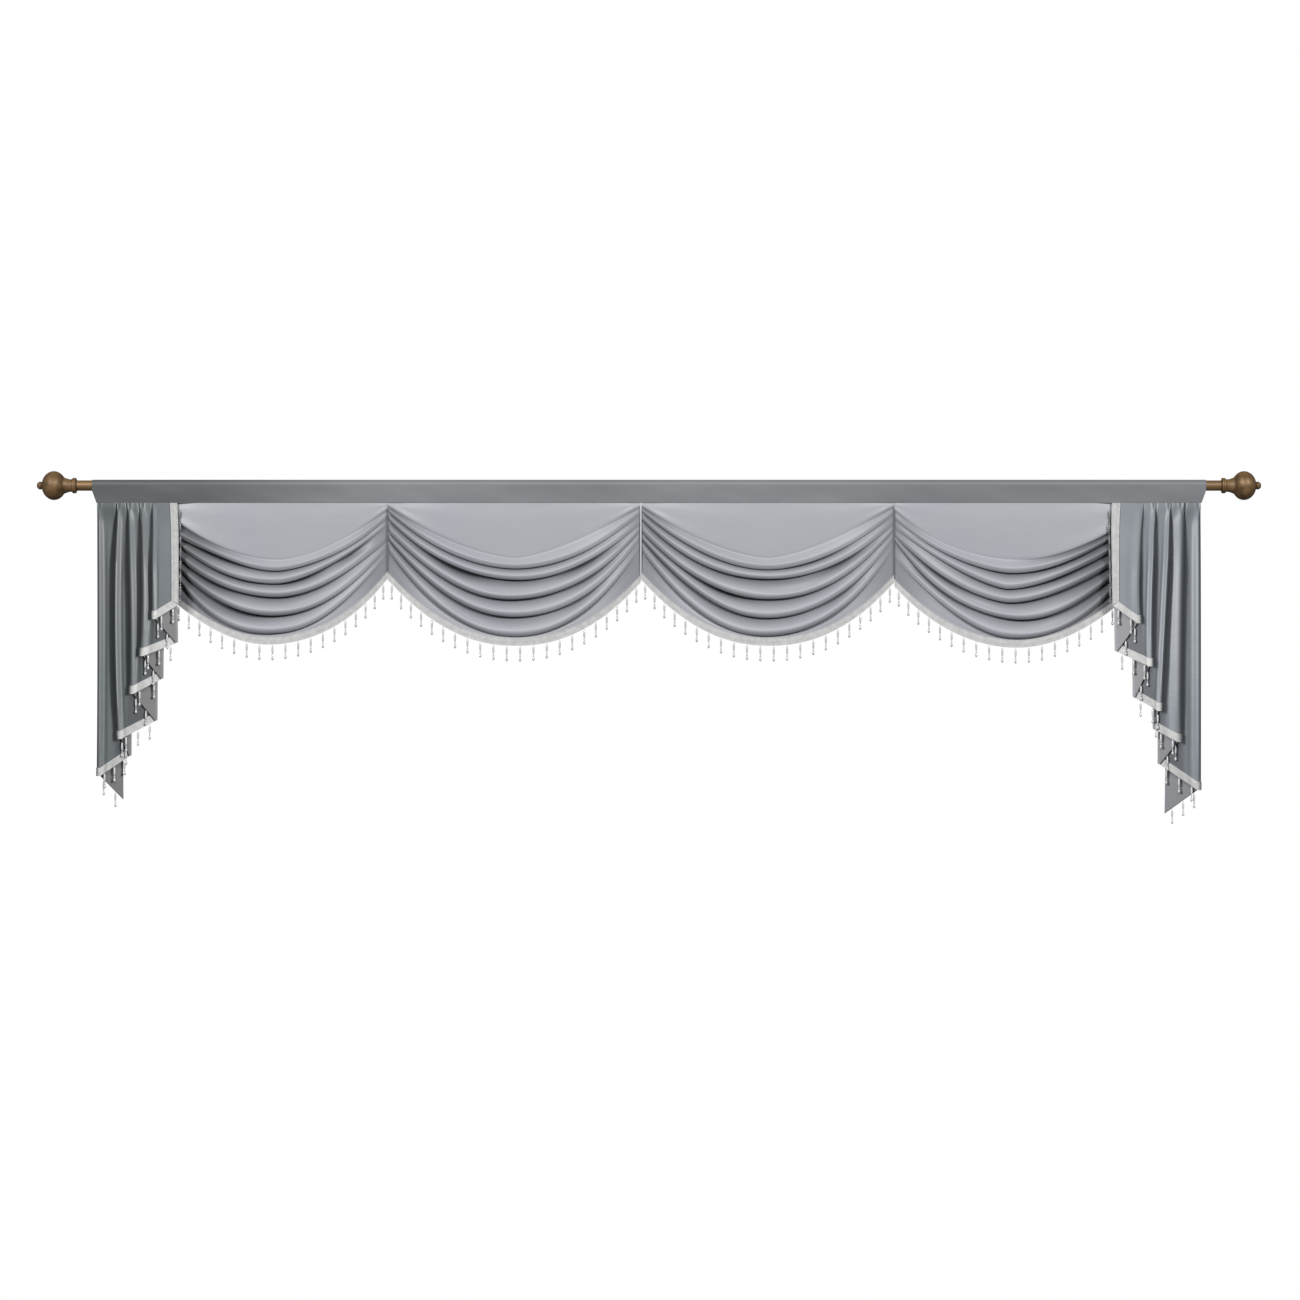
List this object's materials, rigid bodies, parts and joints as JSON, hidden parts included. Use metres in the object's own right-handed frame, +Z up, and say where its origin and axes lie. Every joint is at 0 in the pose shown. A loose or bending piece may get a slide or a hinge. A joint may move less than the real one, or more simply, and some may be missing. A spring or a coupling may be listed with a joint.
{
  "type": "waterfall valance on a rod",
  "caption": "Satin waterfall valance on a ball-end rod: draped swags between pleated cascades, edged with braid and beaded drops.",
  "frame": {"origin": "on the rod's axis, half way along the rod", "axes": "+X along the rod to the right as seen from the room, +Y towards the wall, +Z up"},
  "size_m": [3.305, 0.1005, 0.9513],
  "materials": {
    "satin": "grey satin, woven, soft sheen",
    "beaded_braid": "pale woven braid with clear beads",
    "rod_finish": "bronzed brown, satin lacquer"
  },
  "bodies": {
    "root": {"rod": "rod_finish", "finial_left": "rod_finish", "finial_right": "rod_finish", "heading": "satin", "swag_1": "satin", "swag_2": "satin", "swag_3": "satin", "swag_4": "satin", "seam_welt_1": "satin", "seam_welt_2": "satin", "seam_welt_3": "satin", "swag_trim_1": "beaded_braid", "swag_trim_2": "beaded_braid", "swag_trim_3": "beaded_braid", "swag_trim_4": "beaded_braid", "cascade_left": "satin", "cascade_right": "satin", "cascade_trim_left": "beaded_braid", "cascade_trim_right": "beaded_braid"}
  },
  "joints": []
}
